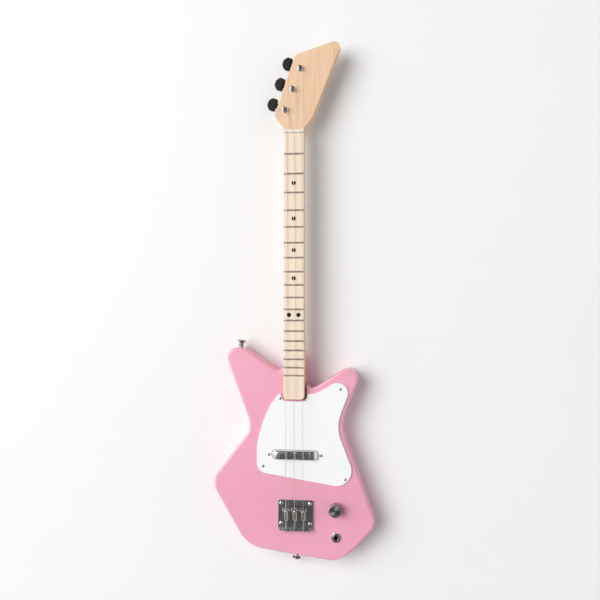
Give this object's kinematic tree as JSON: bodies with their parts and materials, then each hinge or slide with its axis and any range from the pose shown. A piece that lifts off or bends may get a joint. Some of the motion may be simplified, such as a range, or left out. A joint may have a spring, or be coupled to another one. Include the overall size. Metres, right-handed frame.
{
  "type": "toy electric guitar",
  "caption": "Child-size electric guitar with an offset two-horn solid body, bolt-on fretted neck, angular headstock, pickguard, tube pickup, adjustable bridge, volume knob and front jack.",
  "frame": {"origin": "on the flat back of the body, below the bridge end of the scale on the neck's centre line", "axes": "+Z from the back towards the strings, +Y towards the headstock, +X to the treble side (knob and jack)"},
  "size_m": [0.2256, 0.7252, 0.0502],
  "materials": {
    "pink_lacquer": "glossy pink lacquer on wood",
    "maple": "satin clear-finished maple, slightly orange",
    "maple_board": "pale satin maple board with black dots",
    "nut_plastic": "off-white moulded plastic",
    "white_plastic": "one-ply gloss white sheet",
    "chrome": "polished chrome plating",
    "dark_chrome": "polished plating that mirrors dark surroundings",
    "saddle_steel": "bent and plated steel strip",
    "steel": "plain machined steel",
    "fret_wire": "nickel silver wire, dressed",
    "string_wire": "plain steel string wire",
    "black_plastic": "semi-gloss black moulding"
  },
  "bodies": {
    "guitar": {"body": "pink_lacquer", "neck": "maple", "fretboard": "maple_board", "nut": "nut_plastic", "truss_rod": "steel", "pickguard": "white_plastic", "pickup_cover": "chrome", "pickup_coil": "black_plastic", "pickup_base": "steel", "bridge_plate": "dark_chrome", "pot_body": "steel", "pot_nut": "chrome", "jack_socket": "chrome", "jack_nut": "chrome", "control_cover": "white_plastic", "neck_plate": "chrome", "strap_button_horn": "chrome", "strap_button_end": "chrome", "fret_01": "fret_wire", "fret_02": "fret_wire", "fret_03": "fret_wire", "fret_04": "fret_wire", "fret_05": "fret_wire", "fret_06": "fret_wire", "fret_07": "fret_wire", "fret_08": "fret_wire", "fret_09": "fret_wire", "fret_10": "fret_wire", "fret_11": "fret_wire", "fret_12": "fret_wire", "fret_13": "fret_wire", "fret_14": "fret_wire", "fret_15": "fret_wire", "fret_16": "fret_wire", "fret_17": "fret_wire", "fret_18": "fret_wire", "tuner_housing_1": "chrome", "string_1": "string_wire", "tuner_housing_2": "chrome", "string_2": "string_wire", "tuner_housing_3": "chrome", "string_3": "string_wire", "neck_screw_1": "steel", "neck_screw_2": "steel", "neck_screw_3": "steel", "neck_screw_4": "steel"},
    "volume_control": {"volume_knob": "dark_chrome", "pot_shaft": "steel"},
    "saddle_1": {"saddle_1": "saddle_steel"},
    "intonation_screw_1": {"intonation_screw_1": "steel"},
    "saddle_2": {"saddle_2": "saddle_steel"},
    "intonation_screw_2": {"intonation_screw_2": "steel"},
    "saddle_3": {"saddle_3": "saddle_steel"},
    "intonation_screw_3": {"intonation_screw_3": "steel"},
    "tuner_post_1": {"tuner_post_1": "chrome"},
    "tuner_button_1": {"tuner_button_1": "black_plastic"},
    "tuner_post_2": {"tuner_post_2": "chrome"},
    "tuner_button_2": {"tuner_button_2": "black_plastic"},
    "tuner_post_3": {"tuner_post_3": "chrome"},
    "tuner_button_3": {"tuner_button_3": "black_plastic"}
  },
  "joints": [
    {"name": "volume_turn", "type": "hinge", "parent": "guitar", "child": "volume_control", "pos_m": [0.0576, -0.0012, 0.036], "axis": [0, 0, 1], "range_deg": [0, 280]},
    {"name": "intonation_screw_1_turn", "type": "hinge", "parent": "guitar", "child": "intonation_screw_1", "pos_m": [-0.0105, -0.0315, 0.0406], "axis": [0, 1, 0], "range_deg": [-2165, 2165]},
    {"name": "saddle_1_slide", "type": "slide", "parent": "guitar", "child": "saddle_1", "axis": [0, 1, 0], "range_m": [-0.003, 0.003]},
    {"name": "intonation_screw_2_turn", "type": "hinge", "parent": "guitar", "child": "intonation_screw_2", "pos_m": [0.0017, -0.0315, 0.0406], "axis": [0, 1, 0], "range_deg": [-2165, 2165]},
    {"name": "saddle_2_slide", "type": "slide", "parent": "guitar", "child": "saddle_2", "axis": [0, 1, 0], "range_m": [-0.003, 0.003]},
    {"name": "intonation_screw_3_turn", "type": "hinge", "parent": "guitar", "child": "intonation_screw_3", "pos_m": [0.0139, -0.0315, 0.0406], "axis": [0, 1, 0], "range_deg": [-2165, 2165]},
    {"name": "saddle_3_slide", "type": "slide", "parent": "guitar", "child": "saddle_3", "axis": [0, 1, 0], "range_m": [-0.003, 0.003]},
    {"name": "tuner_button_1_turn", "type": "hinge", "parent": "guitar", "child": "tuner_button_1", "pos_m": [0.01024, 0.616, 0.015], "axis": [-0.9423, 0.3346, 0], "continuous": true},
    {"name": "tuner_post_1_turn", "type": "hinge", "parent": "guitar", "child": "tuner_post_1", "pos_m": [0.0085, 0.6111, 0.03], "axis": [0, 0, 1], "continuous": true},
    {"name": "tuner_button_2_turn", "type": "hinge", "parent": "guitar", "child": "tuner_button_2", "pos_m": [-0.00076, 0.5876, 0.015], "axis": [-0.9423, 0.3346, 0], "continuous": true},
    {"name": "tuner_post_2_turn", "type": "hinge", "parent": "guitar", "child": "tuner_post_2", "pos_m": [-0.0025, 0.5827, 0.03], "axis": [0, 0, 1], "continuous": true},
    {"name": "tuner_button_3_turn", "type": "hinge", "parent": "guitar", "child": "tuner_button_3", "pos_m": [-0.01146, 0.5591, 0.015], "axis": [-0.9423, 0.3346, 0], "continuous": true},
    {"name": "tuner_post_3_turn", "type": "hinge", "parent": "guitar", "child": "tuner_post_3", "pos_m": [-0.0132, 0.5542, 0.03], "axis": [0, 0, 1], "continuous": true}
  ],
  "couplings": [
    {"joint": "intonation_screw_1_turn", "follows": "saddle_1_slide", "rad_per_m": 12566},
    {"joint": "intonation_screw_2_turn", "follows": "saddle_2_slide", "rad_per_m": 12566},
    {"joint": "intonation_screw_3_turn", "follows": "saddle_3_slide", "rad_per_m": 12566},
    {"joint": "tuner_post_1_turn", "follows": "tuner_button_1_turn", "ratio": 0.071429},
    {"joint": "tuner_post_2_turn", "follows": "tuner_button_2_turn", "ratio": 0.071429},
    {"joint": "tuner_post_3_turn", "follows": "tuner_button_3_turn", "ratio": 0.071429}
  ]
}
